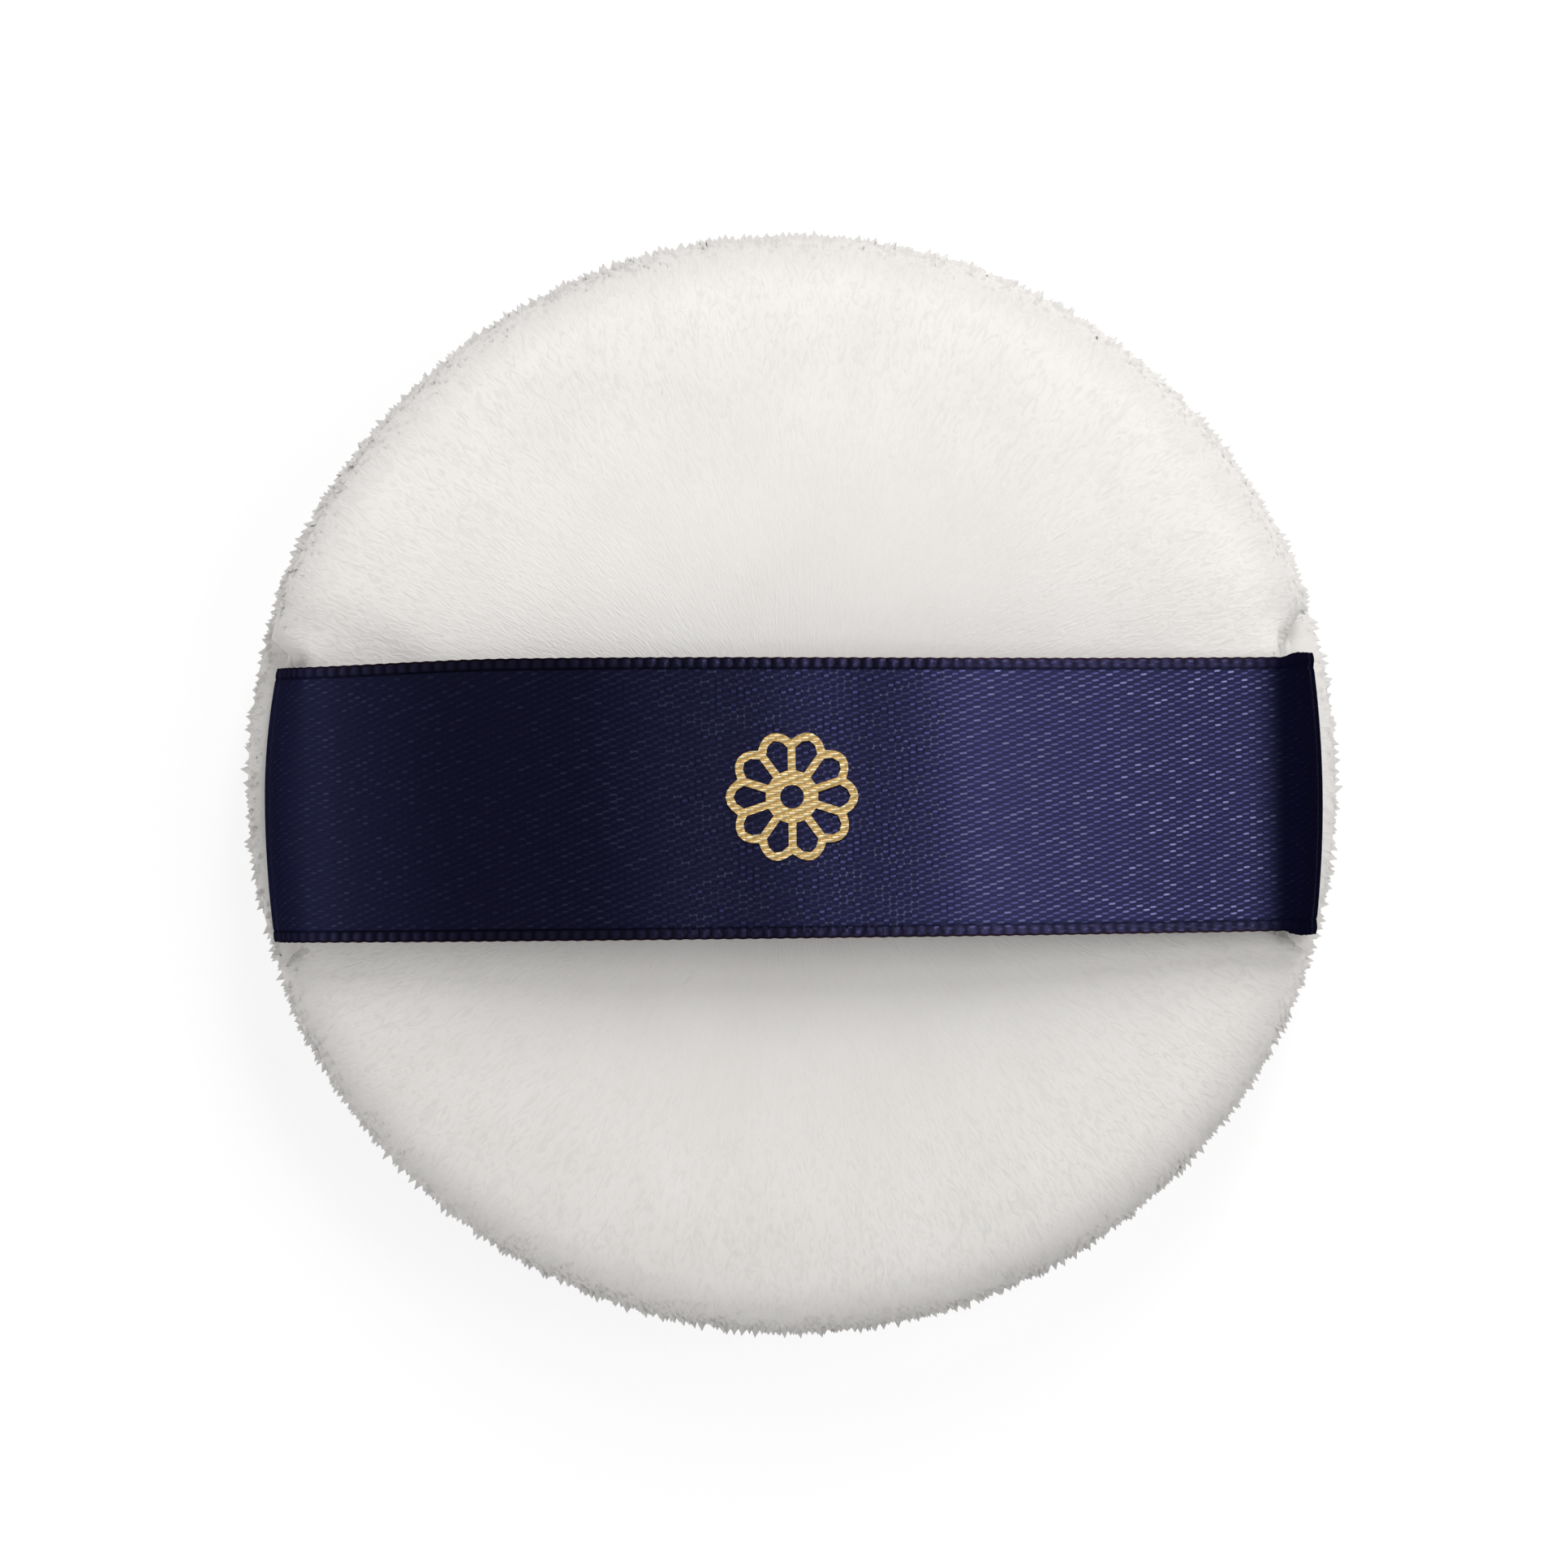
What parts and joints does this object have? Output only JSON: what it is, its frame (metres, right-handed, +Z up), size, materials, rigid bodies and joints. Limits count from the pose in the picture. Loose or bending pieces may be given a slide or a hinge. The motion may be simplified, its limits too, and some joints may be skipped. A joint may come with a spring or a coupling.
{
  "type": "powder puff",
  "caption": "Round velour powder puff with a soft foam core and a satin ribbon finger loop across its back.",
  "frame": {"origin": "centre of the working face, on the surface that the puff lies on", "axes": "+Z up out of the back; X along the ribbon; +Y to the picture's top"},
  "size_m": [0.0782, 0.0786, 0.0207],
  "materials": {
    "velour": "matte",
    "foam": "matte",
    "thread": "satin",
    "satin": "satin",
    "gold_foil": "polished"
  },
  "bodies": {
    "puff": {"back_cover": "velour", "working_face_cover": "velour", "foam_core": "foam", "seam_needle_thread": "thread", "seam_bobbin_thread": "thread", "closing_thread": "thread", "ribbon_end_left": "satin", "ribbon_end_right": "satin", "ribbon_tack_left": "thread", "ribbon_tack_right": "thread"},
    "strap": {"ribbon_strap": "satin", "foil_rosette": "gold_foil"}
  },
  "joints": [
    {"name": "strap_lift", "type": "slide", "parent": "puff", "child": "strap", "axis": [0, 0, 1], "range_m": [0, 0.004], "stiffness_N_per_m": 20}
  ]
}
